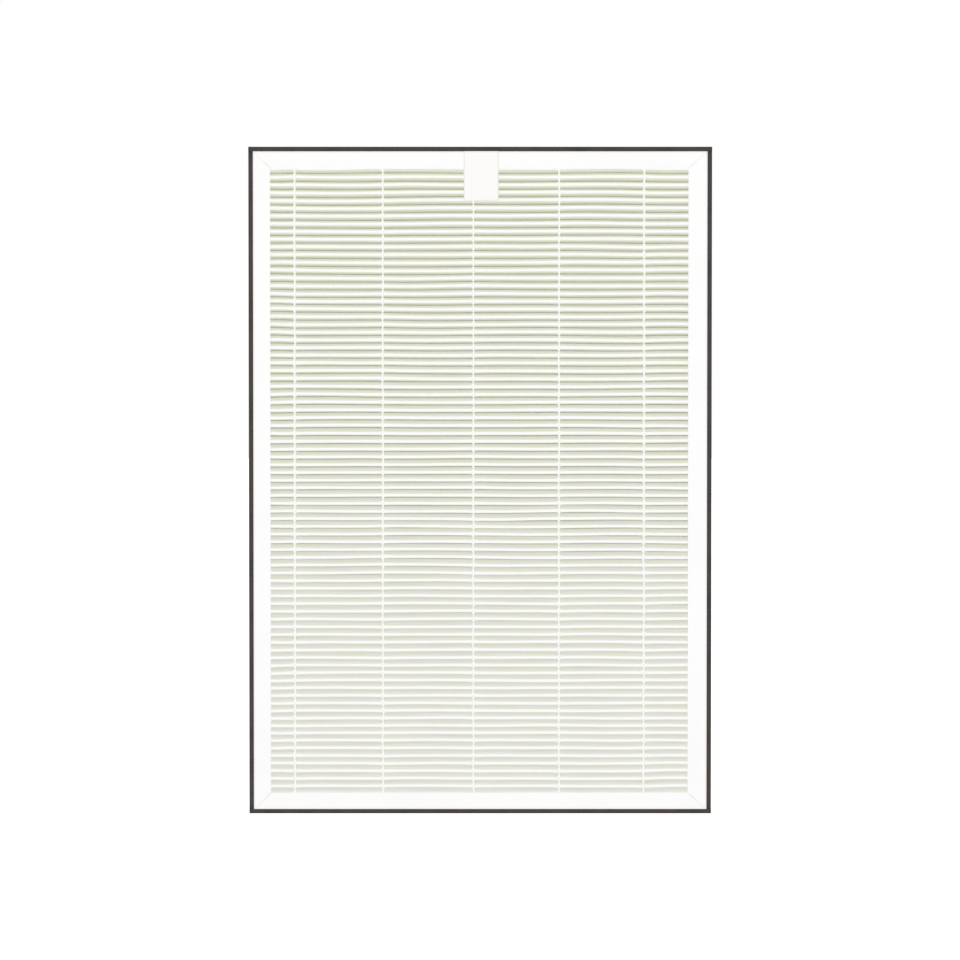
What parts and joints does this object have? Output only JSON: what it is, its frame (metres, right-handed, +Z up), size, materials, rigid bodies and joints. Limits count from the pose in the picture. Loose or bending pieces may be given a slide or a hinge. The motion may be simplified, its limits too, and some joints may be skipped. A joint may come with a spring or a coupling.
{
  "type": "hepa filter panel",
  "caption": "Upright framed panel filter: horizontally pleated sheet with glue separator lines, white mitred board frame, dark foam edge strip and a ribbon pull tab.",
  "frame": {"origin": "middle of the bottom face, at half the frame's depth", "axes": "+X along the width, to the right seen from the front; +Y from the front face with the pull tab to the rear face; +Z up"},
  "size_m": [0.2774, 0.0354, 0.4],
  "materials": {
    "filter_media": "matt non-woven filter sheet, pale yellow-green white",
    "hot_melt_glue": "milky hot-melt glue, soft sheen",
    "potting_glue": "foamed adhesive, off-white, matt",
    "white_board": "coated white board, smooth and nearly matt",
    "dark_foam": "closed-cell foam strip, warm dark grey, matt",
    "white_ribbon": "white non-woven ribbon, matt"
  },
  "bodies": {
    "root": {"media_pack": "filter_media", "front_separator_1": "hot_melt_glue", "front_separator_2": "hot_melt_glue", "front_separator_3": "hot_melt_glue", "front_separator_4": "hot_melt_glue", "front_separator_5": "hot_melt_glue", "rear_separator_1": "hot_melt_glue", "rear_separator_2": "hot_melt_glue", "rear_separator_3": "hot_melt_glue", "rear_separator_4": "hot_melt_glue", "rear_separator_5": "hot_melt_glue", "left_potting": "potting_glue", "right_potting": "potting_glue", "top_glue": "potting_glue", "bottom_glue": "potting_glue", "top_rail": "white_board", "bottom_rail": "white_board", "left_rail": "white_board", "right_rail": "white_board", "top_seal": "dark_foam", "bottom_seal": "dark_foam", "left_seal": "dark_foam", "right_seal": "dark_foam", "pull_tab": "white_ribbon"}
  },
  "joints": []
}
